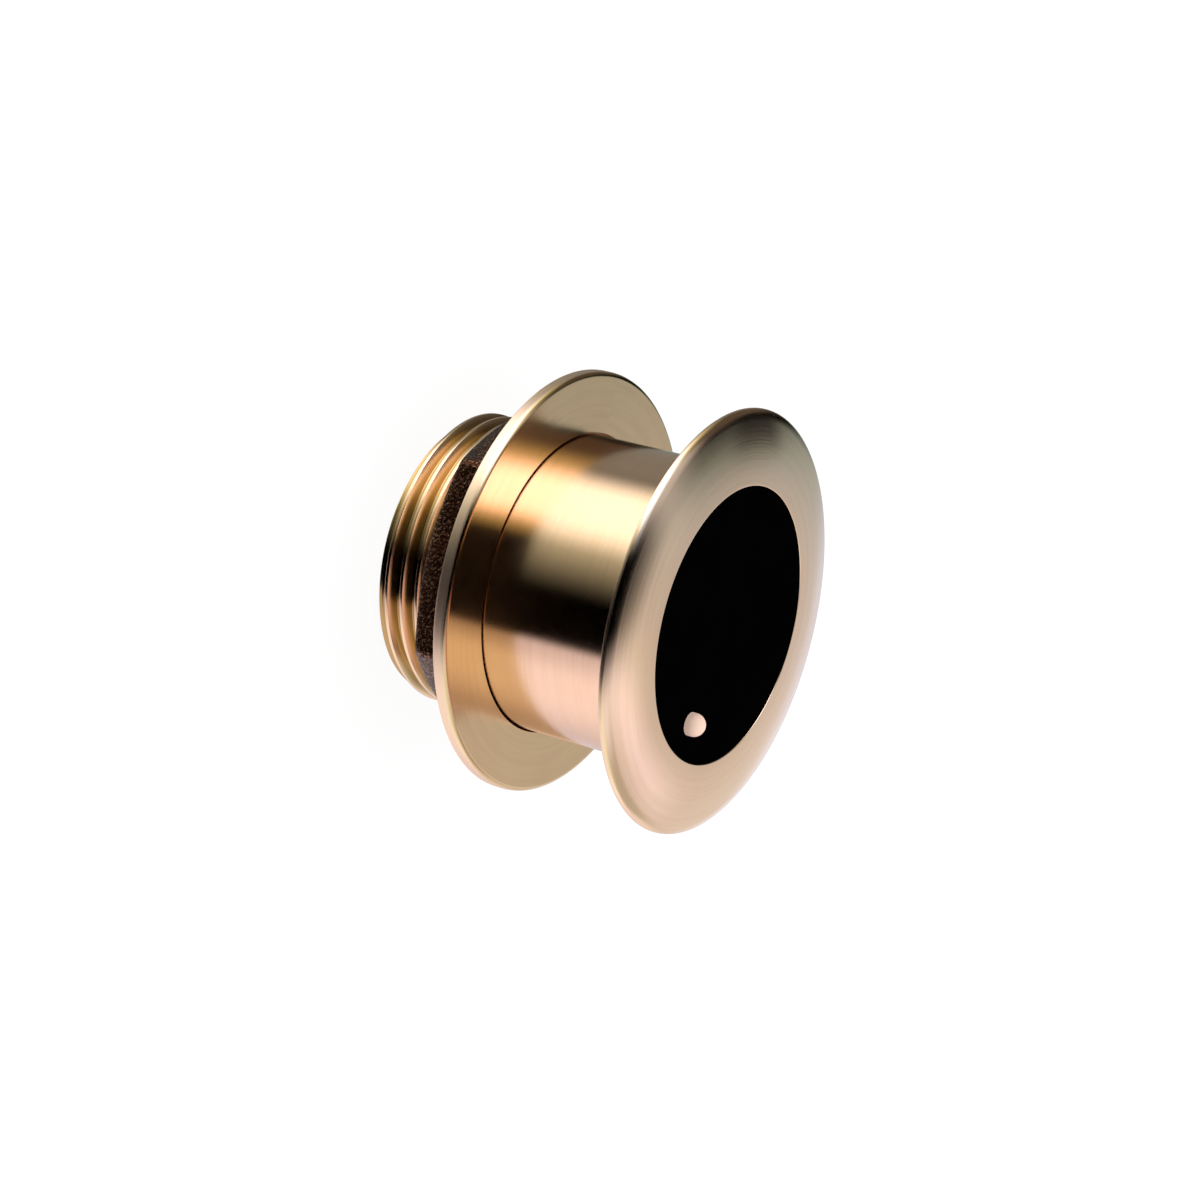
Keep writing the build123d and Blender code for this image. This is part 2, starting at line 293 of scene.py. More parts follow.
plainLooks = {
    "windowUrethane": {
        "colour": (0.0005, 0.0005, 0.0005), "secondColour": (0.0008, 0.0008, 0.0008),
        "roughness": (0.42, 0.5), "mottlePerMetre": 60.0, "skinPerMetre": 1500.0,
        "skinDepth": 0.00001, "specular": 0.0,
    },
    "probeBrass": {
        "colour": (1.0, 0.72, 0.58), "secondColour": (0.98, 0.7, 0.56),
        "roughness": (0.65, 0.72), "mottlePerMetre": 400.0, "skinPerMetre": 4000.0,
        "skinDepth": 0.000006, "specular": 0.1,
    },
    "nylon": {
        "colour": (0.6, 0.57, 0.49), "secondColour": (0.55, 0.51, 0.43),
        "roughness": (0.45, 0.6), "mottlePerMetre": 80.0, "skinPerMetre": 1200.0,
        "skinDepth": 0.00004,
    },
    "beadGlass": {
        "colour": (0.16, 0.08, 0.03), "secondColour": (0.22, 0.12, 0.05),
        "roughness": (0.06, 0.14), "mottlePerMetre": 900.0, "skinPerMetre": 3000.0,
        "skinDepth": 0.000004,
    },
    "copper": {
        "colour": (0.85, 0.45, 0.3), "secondColour": (0.7, 0.33, 0.2),
        "roughness": (0.24, 0.4), "mottlePerMetre": 250.0, "skinPerMetre": 2500.0,
        "skinDepth": 0.00001, "metallic": 1.0,
    },
    "piezoCeramic": {
        "colour": (0.62, 0.55, 0.42), "secondColour": (0.55, 0.47, 0.34),
        "roughness": (0.35, 0.5), "mottlePerMetre": 120.0, "skinPerMetre": 2000.0,
        "skinDepth": 0.00002,
    },
    "cork": {
        "colour": (0.45, 0.27, 0.13), "secondColour": (0.22, 0.11, 0.05),
        "roughness": (0.8, 0.95), "mottlePerMetre": 500.0, "skinPerMetre": 900.0,
        "skinDepth": 0.0003,
    },
    "backingRubber": {
        "colour": (0.03, 0.03, 0.03), "secondColour": (0.045, 0.043, 0.04),
        "roughness": (0.7, 0.85), "mottlePerMetre": 200.0, "skinPerMetre": 1500.0,
        "skinDepth": 0.00006,
    },
    "circuitBoard": {
        "colour": (0.02, 0.14, 0.06), "secondColour": (0.03, 0.2, 0.09),
        "roughness": (0.3, 0.42), "mottlePerMetre": 150.0, "skinPerMetre": 1800.0,
        "skinDepth": 0.00002,
    },
    "chipPlastic": {
        "colour": (0.015, 0.015, 0.016), "secondColour": (0.025, 0.025, 0.026),
        "roughness": (0.5, 0.65), "mottlePerMetre": 600.0, "skinPerMetre": 4000.0,
        "skinDepth": 0.00001,
    },
    "ferrite": {
        "colour": (0.04, 0.04, 0.045), "secondColour": (0.07, 0.07, 0.075),
        "roughness": (0.5, 0.7), "mottlePerMetre": 300.0, "skinPerMetre": 2500.0,
        "skinDepth": 0.00003,
    },
    "pottingResin": {
        "colour": (0.008, 0.008, 0.009), "secondColour": (0.014, 0.014, 0.015),
        "roughness": (0.12, 0.25), "mottlePerMetre": 50.0, "skinPerMetre": 200.0,
        "skinDepth": 0.0001,
    },
    "glandPlastic": {
        "colour": (0.015, 0.015, 0.016), "secondColour": (0.025, 0.025, 0.026),
        "roughness": (0.35, 0.48), "mottlePerMetre": 200.0, "skinPerMetre": 2500.0,
        "skinDepth": 0.00002,
    },
    "sealRubber": {
        "colour": (0.02, 0.02, 0.02), "secondColour": (0.03, 0.03, 0.03),
        "roughness": (0.65, 0.8), "mottlePerMetre": 300.0, "skinPerMetre": 2500.0,
        "skinDepth": 0.00003,
    },
}
nodeFinish = {
    "face_window": "windowUrethane",
    "probe_sleeve": "nylon",
    "thermistor_bead": "beadGlass",
    "thermistor_lead_a": "copper",
    "thermistor_lead_b": "copper",
    "ceramic_disc": "piezoCeramic",
    "isolation_sleeve": "cork",
    "backing_pad": "backingRubber",
    "element_carrier": "nylon",
    "signal_lead": "copper",
    "return_lead": "copper",
    "terminal_board": "circuitBoard",
    "terminal_pins": "copper",
    "id_chip": "chipPlastic",
    "transformer_core": "ferrite",
    "primary_winding": "copper",
    "secondary_winding": "copper",
    "ground_strap": "copper",
    "rear_potting": "pottingResin",
    "gland_body": "glandPlastic",
    "gland_seal": "sealRubber",
    "gland_nut": "glandPlastic",
}

turned = turnedBronze("turnedBronze", stemLook)
nutTurned = turnedBronze("turnedNutBronze", nutLook)
cast = castBronze("castBronze", castLook)
plain = {name: plainSolid(name, look) for name, look in plainLooks.items()}
for node, finish in nodeFinish.items():
    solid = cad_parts[node].data
    solid.materials.clear()
    solid.materials.append(plain[finish])
print("materials made")


# Mesh helpers

def spunOutline(mesh, points, corners, steps):
    # points are radii and heights in millimetres, corners maps a point's number to its rounding
    across = [mesh.verts.new((radius * mm, 0, height * mm)) for radius, height in points]
    onAxis = mesh.verts.new((0, 0, (points[0][1] + points[-1][1]) / 2 * mm))
    mesh.faces.new(across + [onAxis])  # only for the bevels, which need a face
    rounded = {}
    for number, size in corners.items():
        rounded.setdefault(size, []).append(across[number])
    for size, verts in rounded.items():
        bmesh.ops.bevel(
            mesh, geom=verts, offset=size * mm, offset_type="OFFSET", affect="VERTICES",
            segments=roundSteps + int(size * 2), profile=0.5, material=-1, clamp_overlap=True,
        )
    bmesh.ops.delete(mesh, geom=[onAxis], context="VERTS")
    bmesh.ops.spin(
        mesh, geom=list(mesh.verts) + list(mesh.edges), axis=(0, 0, 1), cent=(0, 0, 0),
        angle=math.tau, steps=steps, use_merge=True,
    )


def drawRow(mesh, points, start=0):
    # an open line of radii and heights in millimetres, raised by start
    row = [mesh.verts.new((radius * mm, 0, (start + height) * mm)) for radius, height in points]
    return row + [mesh.edges.new(pair) for pair in zip(row, row[1:])]


def onlyVerts(made):
    return [item for item in made if isinstance(item, bmesh.types.BMVert)]


def drawOn(mesh, ring):
    # a new ring of faces from a ring of edges: its new vertices and its new ring of edges
    made = bmesh.ops.extrude_edge_only(mesh, edges=ring)["geom"]
    verts = onlyVerts(made)
    isNew = set(verts)
    edges = [item for item in made if isinstance(item, bmesh.types.BMEdge)]
    return verts, [edge for edge in edges if all(vert in isNew for vert in edge.verts)]


def setReach(vert, reach, wanted):
    # straight out from the axis, or in towards it
    vert.co.x *= wanted / reach
    vert.co.y *= wanted / reach


def threadSurface(mesh, outline, start, turns):
    # one pitch of the thread's outline is wound up through one turn, and the other turns are
    # stacked on it
    pitch, steps = threadShape["pitch"], threadShape["stepsPerTurn"]
    bmesh.ops.spin(
        mesh, geom=drawRow(mesh, outline, start), axis=(0, 0, 1), cent=(0, 0, 0), angle=math.tau,
        steps=steps, dvec=(0, 0, pitch * mm / steps), use_merge=False,
    )
    firstTurn = list(mesh.verts) + list(mesh.edges) + list(mesh.faces)
    for number in range(1, turns):
        copied = bmesh.ops.duplicate(mesh, geom=firstTurn)["geom"]
        bmesh.ops.translate(mesh, verts=onlyVerts(copied), vec=(0, 0, number * pitch * mm))
    bmesh.ops.remove_doubles(mesh, verts=mesh.verts, dist=threadShape["weld"] * mm)


def cutLevel(mesh, height, above):
    # takes away what lies above or below a level
    bmesh.ops.bisect_plane(
        mesh, geom=list(mesh.verts) + list(mesh.edges) + list(mesh.faces), dist=cutSlack,
        plane_co=(0, 0, height * mm), plane_no=(0, 0, 1), clear_outer=above, clear_inner=not above,
    )


def openEdges(mesh, height):
    # the edges of open rims that lie at a height
    return [
        edge for edge in mesh.edges
        if len(edge.link_faces) == 1
        and all(abs(vert.co.z - height * mm) < levelSlack for vert in edge.verts)
    ]


def closeRim(mesh, height, facing):
    # facing is 1 for a face that looks up and -1 for one that looks down
    rims = openEdges(mesh, height)
    bmesh.ops.triangle_fill(mesh, use_beauty=True, edges=rims, normal=(0, 0, facing))


def joinInto(mesh, other):
    held = bpy.data.meshes.new("held")
    other.to_mesh(held)
    other.free()
    mesh.from_mesh(held)
    bpy.data.meshes.remove(held)


def makePiece(name, mesh, materials):
    bmesh.ops.recalc_face_normals(mesh, faces=mesh.faces)
    data = bpy.data.meshes.new(name)
    mesh.to_mesh(data)
    mesh.free()
    data.set_sharp_from_angle(angle=math.radians(sharpAngle))
    for material in materials:
        data.materials.append(material)
    piece = bpy.data.objects.new(name, data)
    bpy.context.scene.collection.objects.link(piece)
    weighted = piece.modifiers.new("weightedNormals", "WEIGHTED_NORMAL")
    weighted.keep_sharp = True
    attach(piece, "root")
    print(name, "made:", len(data.polygons), "faces, open edges:", countOpen(data))
    return piece


def countOpen(data):
    # edges that don't lie between just two faces
    uses = {}
    for polygon in data.polygons:
        for key in polygon.edge_keys:
            uses[key] = uses.get(key, 0) + 1
    return sum(1 for count in uses.values() if count != 2)


# Thread, shared by the stem and the nut

threadShape = {
    "pitch": 5.6,
    "crestRadius": 46.8,
    "depth": 2.9,
    "crestWidth": 0.9,
    "rootWidth": 1.1,
    "clearance": 0.25,
    "stepsPerTurn": 180,
    "flankRounding": 0.1,
    "flankEase": 0.3,  # how much of the rounding's lift lies at the flank's own end
    "weld": 0.004,
}


def ridgeHalfWidth(radius):
    run = (threadShape["pitch"] - threadShape["crestWidth"] - threadShape["rootWidth"]) / 2
    down = threadShape["crestRadius"] - radius
    return threadShape["crestWidth"] / 2 + run * down / threadShape["depth"]


def onePitch(valleyRadius, hillRadius, halfAtValley, halfAtHill):
    # from the middle of a valley, over the hill, to the middle of the next valley
    middle = threadShape["pitch"] / 2
    soft, ease = threadShape["flankRounding"], threadShape["flankEase"]
    slope = (hillRadius - valleyRadius) / (halfAtValley - halfAtHill)
    lift = slope * soft
    lower = [
        (valleyRadius, 0),
        (valleyRadius, middle - halfAtValley - soft),
        (valleyRadius + lift * ease, middle - halfAtValley),
        (valleyRadius + lift, middle - halfAtValley + soft),
        (hillRadius - lift, middle - halfAtHill - soft),
        (hillRadius - lift * ease, middle - halfAtHill),
        (hillRadius, middle - halfAtHill + soft),
    ]
    return lower + [(radius, 2 * middle - height) for radius, height in reversed(lower)]


# Housing

housingShape = {
    "length": 99.8,
    "flangeRadius": 66.5,
    "flangeEdge": 1.9,
    "flangeRise": 3.35,
    "crownRadius": 100.0,
    "crownSteps": 12,
    "rollWidth": 3.5,
    "rollSide": 0.5,
    "rollSteps": 12,
    "edgeRound": 0.35,
    "rootBevel": 1.2,
    "stemRadius": 47.5,
    "shoulder": 36.0,
    "threadTop": 33.5,
    "reliefRadius": 43.6,
    "boreRadius": 40.0,
    "seatRadius": 43.5,
    "seatDepth": 9.0,
    "lipWidth": 0.6,
    "lipRound": 0.2,
    "chamferRadius": 44.4,
    "steps": 288,
    "threadStart": -1.5,  # pitches
    "threadTurns": 8,
}


def crownPoints(shape, rim, lip, sideEnd):
    # points from the flange's side, over its rolled edge and up the crown to the lip
    radius = shape["crownRadius"]
    along = Vector(lip) - Vector(rim)
    middle = (Vector(rim) + Vector(lip)) / 2
    inwards = Vector((along.y, -along.x)).normalized()
    if inwards.y > 0:
        inwards = -inwards
    centre = middle + inwards * math.sqrt(radius ** 2 - (along.length / 2) ** 2)
    first = math.acos((rim[0] - shape["rollWidth"] - centre.x) / radius)
    last = math.atan2(lip[1] - centre.y, lip[0] - centre.x)
    steps = shape["crownSteps"]
    angles = [first + (last - first) * i / steps for i in range(steps)]
    crown = [(centre.x + radius * math.cos(a), centre.y + radius * math.sin(a)) for a in angles]
    start, side = Vector(crown[0]), Vector((rim[0], sideEnd))
    corner = Vector((rim[0], start.y - shape["rollWidth"] / math.tan(first)))
    shares = [1 - i / shape["rollSteps"] for i in range(shape["rollSteps"])]
    roll = [start * (1 - t) ** 2 + corner * 2 * t * (1 - t) + side * t ** 2 for t in shares]
    return [tuple(point) for point in roll] + crown


def stemThread(mesh, shape):
    # the ridge, with its lead-in chamfer, cut off level at both ends
    crest = threadShape["crestRadius"]
    root = crest - threadShape["depth"]
    ridge = onePitch(root, crest, ridgeHalfWidth(root), threadShape["crestWidth"] / 2)
    threadSurface(mesh, ridge, shape["threadStart"] * threadShape["pitch"], shape["threadTurns"])
    for vert in mesh.verts:
        limit = max(root * mm, shape["chamferRadius"] * mm + vert.co.z)
        reach = math.hypot(vert.co.x, vert.co.y)
        if reach > limit:
            setReach(vert, reach, limit)
    cutLevel(mesh, 0, False)
    cutLevel(mesh, shape["threadTop"], True)


def makeHousing(shape):
    rimHeight = shape["length"] - shape["flangeRise"]
    backHeight = rimHeight - shape["flangeEdge"]
    rim = (shape["flangeRadius"], rimHeight)
    lip = (shape["seatRadius"] + shape["lipWidth"], shape["length"])
    seatHeight = shape["length"] - shape["seatDepth"]
    crest = threadShape["crestRadius"]
    stem = [
        (shape["reliefRadius"], shape["threadTop"]),
        (shape["reliefRadius"], shape["shoulder"]),
        (crest, shape["shoulder"]),
        (shape["stemRadius"], shape["shoulder"] + shape["stemRadius"] - crest),
        (shape["stemRadius"], backHeight),
        (shape["flangeRadius"], backHeight),
    ]
    crown = crownPoints(shape, rim, lip, backHeight + shape["rollSide"])
    inside = [
        lip,
        (shape["seatRadius"], shape["length"]),
        (shape["seatRadius"], seatHeight),
        (shape["boreRadius"], seatHeight),
        (shape["boreRadius"], 0),
    ]
    lipNumber = len(stem + crown)
    corners = {
        len(stem) - 2: shape["rootBevel"],
        len(stem) - 1: shape["edgeRound"],
        lipNumber: shape["lipRound"],
        lipNumber + 1: shape["lipRound"],
    }
    mesh = bmesh.new()
    stemThread(mesh, shape)
    body = bmesh.new()
    spunOutline(body, stem + crown + inside, corners, shape["steps"])
    joinInto(mesh, body)
    closeRim(mesh, 0, -1)
    closeRim(mesh, shape["threadTop"], 1)
    return makePiece("housingCasting", mesh, [turned])


housing = makeHousing(housingShape)
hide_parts("housing")


# Hull nut

nutShape = {
    "front": 41.25,
    "discBack": 36.95,
    "rear": 20.5,
    "threadTop": 32.25,
    "discRadius": 67.4,
    "discInside": 63.9,
    "frontRound": 1.6,
    "backRound": 0.5,
    "counterboreRadius": 48.05,
    "counterboreRound": 0.25,
    "acrossFlats": 104.0,
    "cornerRadius": 3.0,
    "cornerSteps": 8,
    "sideLeast": 10,  # only longer edges are split
    "sideSteps": 28,
    "sideShares": (0.35, 0.8),  # rings down the side, as shares of its height
    "faceRadius": 51.5,
    "faceShares": (0.4, 0.75, 1.0),  # rings across the chamfer, as shares of its width
    "faceInside": 48.2,
    "ringLeast": 0.15,
    "chamferAngle": 27.0,
    "castFillet": 1.2,
    "filletAngles": (90, 60, 30, 0),
    "castRound": 0.7,
    "roundDown": 0.35,  # where the rounding starts and ends, as shares of castRound
    "roundIn": 1.2,
    "castReach": (50.5, 62.9),  # the cast skin's radii
    "steps": 288,
    "threadTurns": 5,
}


def nutThread(mesh, shape):
    # the same ridge turned inwards, half a pitch on from the stem's
    pitch, clearance = threadShape["pitch"], threadShape["clearance"]
    crest = threadShape["crestRadius"] - threadShape["depth"] + clearance
    bore = threadShape["crestRadius"] + clearance
    halfAtBore = pitch / 2 - ridgeHalfWidth(bore) - clearance
    halfAtCrest = pitch / 2 - ridgeHalfWidth(crest) - clearance
    ridge = onePitch(bore, crest, halfAtBore, halfAtCrest)
    start = shape["rear"] // pitch * pitch - pitch
    threadSurface(mesh, ridge, start, shape["threadTurns"])
    leadIn = threadShape["depth"] / 2
    for vert in mesh.verts:
        limit = min(bore * mm, (crest + leadIn + shape["rear"]) * mm - vert.co.z)
        reach = math.hypot(vert.co.x, vert.co.y)
        if reach < limit:
            setReach(vert, reach, limit)
    cutLevel(mesh, shape["rear"], False)
    cutLevel(mesh, shape["threadTop"], True)


def makeHullNut(shape):
    mesh = bmesh.new()
    nutThread(mesh, shape)
    disc = bmesh.new()
    outline = [
        (shape["discInside"], shape["discBack"]),
        (shape["discRadius"], shape["discBack"]),
        (shape["discRadius"], shape["front"]),
        (shape["counterboreRadius"], shape["front"]),
        (shape["counterboreRadius"], shape["threadTop"]),
    ]
    corners = {1: shape["backRound"], 2: shape["frontRound"], 3: shape["counterboreRound"]}
    spunOutline(disc, outline, corners, shape["steps"])
    joinInto(mesh, disc)
    boss = bmesh.new()
    makeBoss(boss, shape)
    joinInto(mesh, boss)
    closeRim(mesh, shape["threadTop"], 1)
    closeRim(mesh, shape["rear"], -1)
    closeRim(mesh, shape["discBack"], -1)
    nearest, farthest = shape["castReach"]
    for face in mesh.faces:
        middle = face.calc_center_median()
        reach = math.hypot(middle.x, middle.y) / mm
        behindDisc = middle.z < shape["discBack"] * mm + levelSlack
        face.material_index = 1 if behindDisc and nearest < reach < farthest else 0
    return makePiece("hullNutCasting", mesh, [nutTurned, cast])


def makeBoss(mesh, shape):
    # the hexagon's outline, drawn down from the disc in rings and in to the round rear face
    halfTurn = math.radians(30)  # half of the angle that a side takes up
    corner = shape["acrossFlats"] / 2 / math.cos(halfTurn)
    bmesh.ops.create_circle(mesh, cap_ends=True, segments=6, radius=corner * mm)
    quarter = Matrix.Rotation(math.radians(90), 3, "Z")
    bmesh.ops.rotate(mesh, verts=mesh.verts, cent=(0, 0, 0), matrix=quarter)
    bmesh.ops.bevel(
        mesh, geom=list(mesh.verts), offset=shape["cornerRadius"] * math.tan(halfTurn) * mm,
        offset_type="OFFSET", affect="VERTICES", segments=shape["cornerSteps"], profile=0.5,
        material=-1,
    )
    bmesh.ops.delete(mesh, geom=list(mesh.faces), context="FACES_ONLY")
    sides = [edge for edge in mesh.edges if edge.calc_length() > shape["sideLeast"] * mm]
    bmesh.ops.subdivide_edges(mesh, edges=sides, cuts=shape["sideSteps"])

    flats = {vert: (vert.co.x, vert.co.y) for vert in mesh.verts}
    ring = list(mesh.edges)
    levels = bossLevels(shape)
    placeRing(flats, *levels[0])
    for outwards, heightAt in levels[1:]:
        verts, ring = drawOn(mesh, ring)
        above = {spot(vert): flat for vert, flat in flats.items()}
        flats = {vert: above[spot(vert)] for vert in verts}
        placeRing(flats, outwards, heightAt)

    rings = [(share, shape["faceRadius"]) for share in shape["faceShares"]]
    for share, radius in rings + [(1.0, shape["faceInside"])]:
        verts, ring = drawOn(mesh, ring)
        for vert in verts:
            reach = math.hypot(vert.co.x, vert.co.y)
            inmost = min(radius, reach / mm - shape["ringLeast"]) * mm
            wanted = reach + (inmost - reach) * share
            setReach(vert, reach, wanted)
            vert.co.z = chamferHeight(shape, wanted / mm) * mm


def spot(vert):
    # the same for vertices that lie on one another
    return tuple(round(part, 7) for part in vert.co)


def chamferHeight(shape, radius):
    # the boss's rear face is flat out to a radius and rises from there as a cone
    rise = math.tan(math.radians(shape["chamferAngle"]))
    return shape["rear"] + max(0, radius - shape["faceRadius"]) * rise


def bossLevels(shape):
    # each ring's distance outside the hexagon, and its height for a radius, all in millimetres
    fillet, soft = shape["castFillet"], shape["castRound"]
    sideTop = shape["discBack"] - fillet

    def level(height):
        return lambda radius: height

    def onSide(share):
        return lambda radius: sideTop + (chamferHeight(shape, radius) + soft - sideTop) * share

    def onCone(radius):
        rise = math.tan(math.radians(shape["chamferAngle"]))
        return chamferHeight(shape, radius) - soft * shape["roundIn"] * rise

    levels = []
    for angle in shape["filletAngles"]:
        turn = math.radians(angle)
        levels.append((fillet * (1 - math.cos(turn)), level(sideTop + fillet * math.sin(turn))))
    levels += [(0, onSide(share)) for share in shape["sideShares"]]
    return levels + [(-soft * shape["roundDown"], onSide(1)), (-soft * shape["roundIn"], onCone)]


def placeRing(flats, outwards, heightAt):
    for vert, (x, y) in flats.items():
        reach = math.hypot(x, y)
        spread = (reach + outwards * mm) / reach
        vert.co = (x * spread, y * spread, heightAt(reach / mm) * mm)


hullNut = makeHullNut(nutShape)
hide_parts("hull_nut")


# Temperature tip

tipShape = {
    "offset": 32.8,
    "angle": -18.3,
    "radius": 3.65,
    "noseHeight": 100.95,
    "length": 14.9,
    "wall": 1.35,
    "boreRadius": 2.0,
    "drillSlope": 31.0,
    "noseSteps": 14,
    "steps": 64,
    "weld": 0.001,
}


def makeTip(shape):
    low = shape["noseHeight"] - shape["length"]
    boreTop = shape["noseHeight"] + shape["radius"] - shape["wall"]
    point = shape["boreRadius"] * math.tan(math.radians(shape["drillSlope"]))
    radius, nose, steps = shape["radius"], shape["noseHeight"], shape["noseSteps"]
    turns = [math.radians(90) * i / steps for i in range(steps)]
    outline = [
        (0, boreTop),
        (shape["boreRadius"], boreTop - point),
        (shape["boreRadius"], low),
        (radius, low),
        *[(radius * math.cos(turn), nose + radius * math.sin(turn)) for turn in turns],
        (0, nose + radius),
    ]
    mesh = bmesh.new()
    bmesh.ops.spin(
        mesh, geom=drawRow(mesh, outline), axis=(0, 0, 1), cent=(0, 0, 0), angle=math.tau,
        steps=shape["steps"], use_merge=True,
    )
    bmesh.ops.remove_doubles(mesh, verts=mesh.verts, dist=shape["weld"] * mm)
    turn = math.radians(shape["angle"])
    place = Vector((shape["offset"] * math.cos(turn), shape["offset"] * math.sin(turn), 0)) * mm
    bmesh.ops.translate(mesh, verts=mesh.verts, vec=place)
    return makePiece("temperatureTip", mesh, [plain["probeBrass"]])


tip = makeTip(tipShape)
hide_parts("probe_tip")


# Camera, floor and light

cameraSetup = {
    "place": (-0.0309, -0.7885, 0.4986),
    "target": (0.00249, -0.00011, 0.05351),
    "rollDegrees": 104.86,
    "lens": 87.26,
    "sensorWidth": 36.0,
}


def makeCamera(setup):
    data = bpy.data.cameras.new("camera")
    data.lens = setup["lens"]
    data.sensor_width = setup["sensorWidth"]
    camera = bpy.data.objects.new("camera", data)
    bpy.context.scene.collection.objects.link(camera)
    look = (Vector(setup["target"]) - Vector(setup["place"])).to_track_quat("-Z", "Y")
    roll = Matrix.Rotation(math.radians(setup["rollDegrees"]), 4, "Z")
    camera.matrix_world = Matrix.Translation(setup["place"]) @ look.to_matrix().to_4x4() @ roll
    bpy.context.scene.camera = camera


# rise and fall are bearings in degrees, 0 at the front and 90 on the right; levels, up, down and
# from are heights of a ray's direction, whose length is 1

studio = {
    "seam": 195.0,
    "levels": (-0.36, 0.06),
    "lowPanels": [
        {"rise": (41, 50), "fall": (156, 186), "colour": (0.44, 0.26, 0.28)},
        {"rise": (41, 50), "fall": (186, 200), "colour": (0.32, 0.44, 0.44)},
        {"rise": (46, 74), "fall": (88, 144), "colour": (0.36, 0.36, 0.34)},
        {"rise": (184, 204), "fall": (250, 280), "colour": (0.24, 0.25, 0.22)},
        {"rise": (258, 286), "fall": (310, 336), "colour": (0.8, 0.8, 0.8)},
        {"rise": (258, 286), "fall": (300, 370), "colour": (0.9, 0.95, 0.68)},
    ],
    "highPanels": [
        {"rise": (43, 49), "fall": (168, 188), "colour": (0.27, 0.16, 0.1)},
        {"rise": (43, 49), "fall": (187, 199), "colour": (0.28, 0.4, 0.36)},
        {"rise": (46, 68), "fall": (84, 134), "colour": (0.5, 0.6, 0.5)},
        {"rise": (168, 180), "fall": (182, 194), "colour": (0.14, 0.1, 0.14)},
        {"rise": (202, 216), "fall": (286, 304), "colour": (0.1, 0.09, 0.07)},
        {"rise": (236, 290), "fall": (308, 336), "colour": (1.5, 1.6, 0.75)},
        {"rise": (258, 288), "fall": (304, 326), "colour": (1.6, 1.6, 2.8)},
    ],
    "glows": [
        {
            "rise": (144, 157), "fall": (160, 200), "up": (-0.36, 0.06), "down": (0.3, 0.6),
            "colour": (0.27, 0.29, 0.34),
        },
        {
            "rise": (150, 172), "fall": (180, 190), "up": (-0.3, -0.05), "down": (0.04, 0.2),
            "colour": (0.24, 0.34, 0.56),
        },
        {
            "rise": (88, 108), "fall": (140, 156), "up": (-0.35, -0.1), "down": (0.36, 0.5),
            "colour": (0.4, 0.38, 0.44),
        },
        {
            "rise": (156, 163), "fall": (164, 173), "up": (0.36, 0.56), "down": (0.74, 0.92),
            "colour": (0.6, 0.56, 0.76),
        },
        {
            "rise": (160, 168), "fall": (182, 192), "up": (0.55, 0.68), "down": (1.2, 1.4),
            "colour": (0.28, 0.3, 0.28),
        },
    ],
    "shade": {
        "rise": (188, 192), "fall": (206, 214), "up": (0.34, 0.41), "down": (0.51, 0.57),
        "colour": (1.0, 1.0, 1.0),
    },
    "ceiling": {
        "from": (0.66, 0.81),
        "rightShift": 0.04,
        "shiftOver": (0.0, 0.1),
        "split": (-0.05, 0.05),
        "gapWidth": 0.32,
        "gapLean": 0.35,
        "gapEdge": (0.5, 1.7),
        "rightColour": (1.0, 1.02, 1.05),
        "leftColour": (0.6, 0.66, 0.66),
        "lampRise": (246, 264),
        "lampColour": (1.5, 1.9, 2.3),
    },
    "plainLight": (0.94, 0.94, 0.94),
    "floorGlow": 0.92,
    "floorColour": (0.12, 0.12, 0.12),
    "floorBounce": (0.75, 0.75, 0.75),
    "floorSize": 30.0,
    "lampPlace": (-0.35, 0.25, 1.1),
    "lampSize": 0.8,
    "lampPower": 2.0,
}


def fadeInAndOut(paint, value, rise, fall):
    return paint.between(value, *rise) * paint.between(value, *fall, 1.0, 0.0)


def panelLight(paint, degrees, panels):
    # soft-edged panels side by side, added up
    seen = (0, 0, 0, 1)
    for panel in panels:
        share = fadeInAndOut(paint, degrees, panel["rise"], panel["fall"])
        seen = paint.mix(1.0, seen, paint.mix(share, (0, 0, 0), panel["colour"]), "ADD")
    return seen


def wallLight(paint, degrees, z, setup):
    # panels all round in a low and a high row, brighter spots over them and one dark one
    low = panelLight(paint, degrees, setup["lowPanels"])
    high = panelLight(paint, degrees, setup["highPanels"])
    walls = paint.mix(paint.between(z, *setup["levels"]), low, high)
    for glow in setup["glows"]:
        level = fadeInAndOut(paint, z, glow["up"], glow["down"])
        walls = paint.mix(level, walls, panelLight(paint, degrees, [glow]), "ADD")
    shade = setup["shade"]
    level = fadeInAndOut(paint, z, shade["up"], shade["down"])
    return paint.mix(level * panelLight(paint, degrees, [shade]), walls, (0, 0, 0))


def ceilingLight(paint, degrees, across, depth, ceiling):
    # two bright halves, a dark gap between them, and a lamp in the left one
    side = paint.node("ShaderNodeMath", {"operation": "ABSOLUTE"}, {0: across})[0]
    side = side / (ceiling["gapWidth"] - depth * ceiling["gapLean"])
    lampShare = paint.between(degrees, *ceiling["lampRise"])
    left = paint.mix(lampShare, ceiling["leftColour"], ceiling["lampColour"])
    above = paint.mix(paint.between(across, *ceiling["split"]), left, ceiling["rightColour"])
    return paint.mix(paint.between(side, *ceiling["gapEdge"]), (0, 0, 0), above)


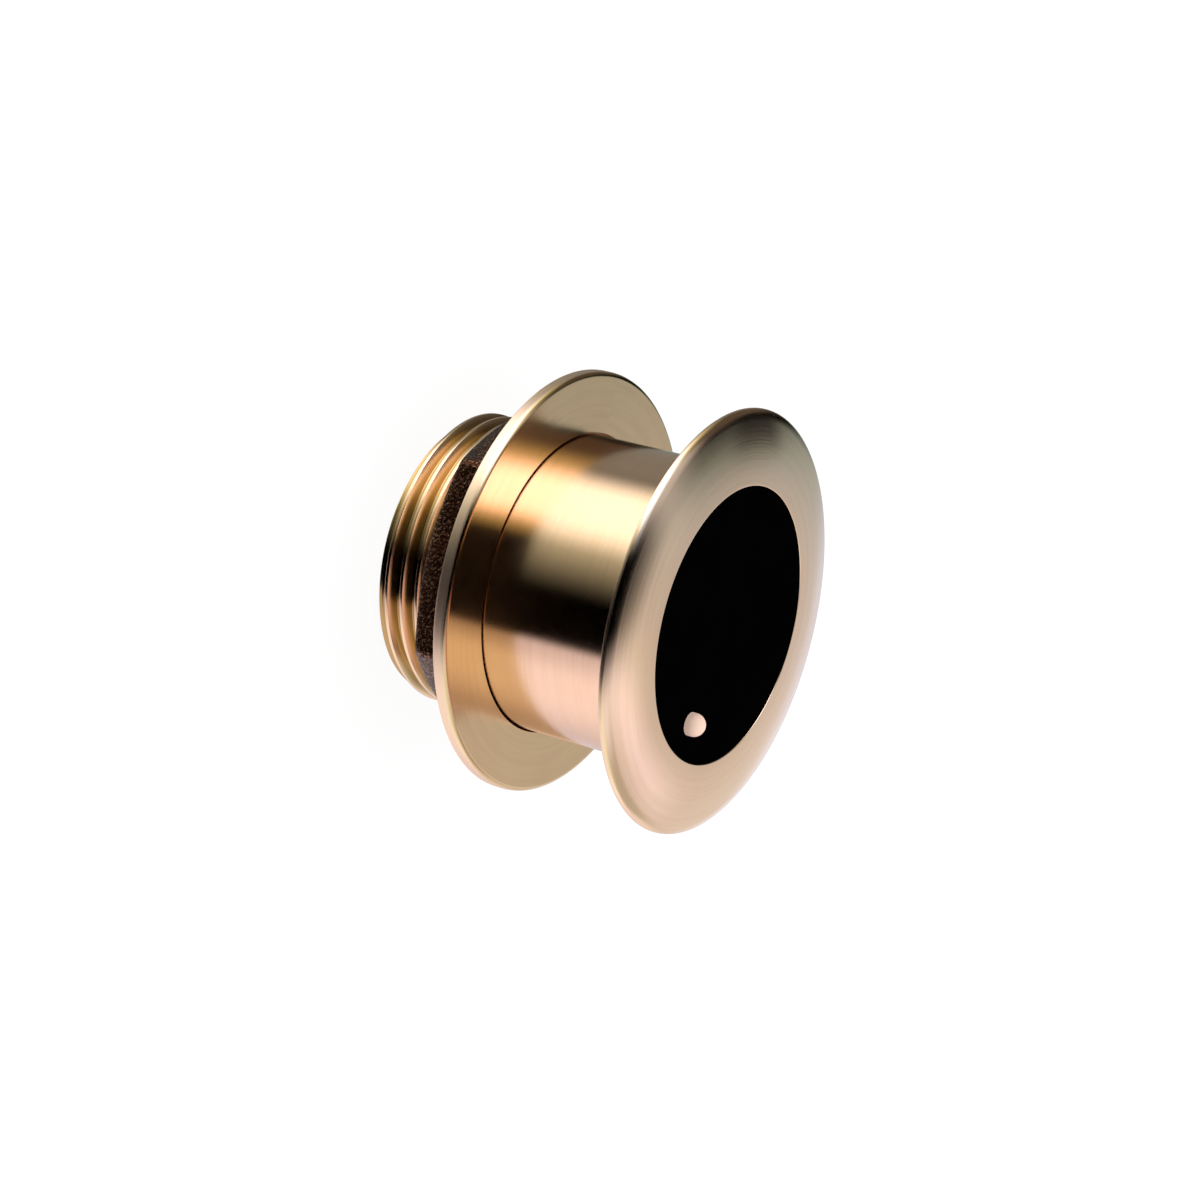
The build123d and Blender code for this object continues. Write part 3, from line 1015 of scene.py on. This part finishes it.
def makeWorld(setup):
    # metal shows soft panels that stand round the object; everything else gets even light
    world = bpy.data.worlds.new("studio")
    bpy.context.scene.world = world
    world.cycles.sampling_method = "NONE"  # or metal would also be lit by the plain light
    paint = Paint(world)
    away = paint.node("ShaderNodeTexCoord", {}, {})[0]  # the ray's direction
    fromSeam = {"Vector": away, "Rotation": (0, 0, math.radians(-setup["seam"]))}
    x, y, z = paint.split(paint.node("ShaderNodeMapping", {}, fromSeam)[0])
    bearing = paint.node("ShaderNodeMath", {"operation": "ARCTAN2"}, {0: x, 1: 0 - y})[0]
    degrees = bearing * math.degrees(1) + setup["seam"]
    walls = wallLight(paint, degrees, z, setup)
    ceiling = setup["ceiling"]
    across, depth, up = paint.split(away)
    above = ceilingLight(paint, degrees, across, depth, ceiling)
    height = up - paint.between(across, *ceiling["shiftOver"], 0.0, ceiling["rightShift"])
    seen = paint.mix(paint.between(height, *ceiling["from"]), walls, above)
    cameraRay, glossyRay = paint.rays()
    light = paint.mix(glossyRay, setup["plainLight"], seen)
    light = paint.mix(cameraRay, light, (1, 1, 1))
    shown = paint.node("ShaderNodeBackground", {}, {"Color": light, "Strength": 1.0})[0]
    paint.node("ShaderNodeOutputWorld", {}, {0: shown})


def makeFloor(setup):
    mesh = bmesh.new()
    bmesh.ops.create_grid(mesh, x_segments=1, y_segments=1, size=setup["floorSize"] / 2)
    data = bpy.data.meshes.new("floor")
    mesh.to_mesh(data)
    mesh.free()
    floor = bpy.data.objects.new("floor", data)
    bpy.context.scene.collection.objects.link(floor)
    floor.visible_glossy = False
    paint = newPaint("floor")
    cameraRay = paint.rays()[0]
    colour = paint.mix(cameraRay, setup["floorBounce"], setup["floorColour"])
    matt = paint.node("ShaderNodeBsdfDiffuse", {}, {"Color": colour})[0]
    glowing = {"Color": (1, 1, 1, 1), "Strength": cameraRay * setup["floorGlow"]}
    glow = paint.node("ShaderNodeEmission", {}, glowing)[0]
    both = paint.node("ShaderNodeAddShader", {}, {0: matt, 1: glow})[0]
    paint.node("ShaderNodeOutputMaterial", {}, {0: both})
    data.materials.append(paint.owner)


def makeLamp(setup):
    data = bpy.data.lights.new("softbox", "AREA")
    data.size = setup["lampSize"]
    data.energy = setup["lampPower"]
    lamp = bpy.data.objects.new("softbox", data)
    bpy.context.scene.collection.objects.link(lamp)
    lamp.location = setup["lampPlace"]
    lamp.rotation_euler = (-Vector(setup["lampPlace"])).to_track_quat("-Z", "Y").to_euler()
    lamp.visible_glossy = False


makeCamera(cameraSetup)
makeWorld(studio)
makeFloor(studio)
makeLamp(studio)
bpy.context.scene.view_settings.view_transform = "Standard"
print("camera, floor and light set")
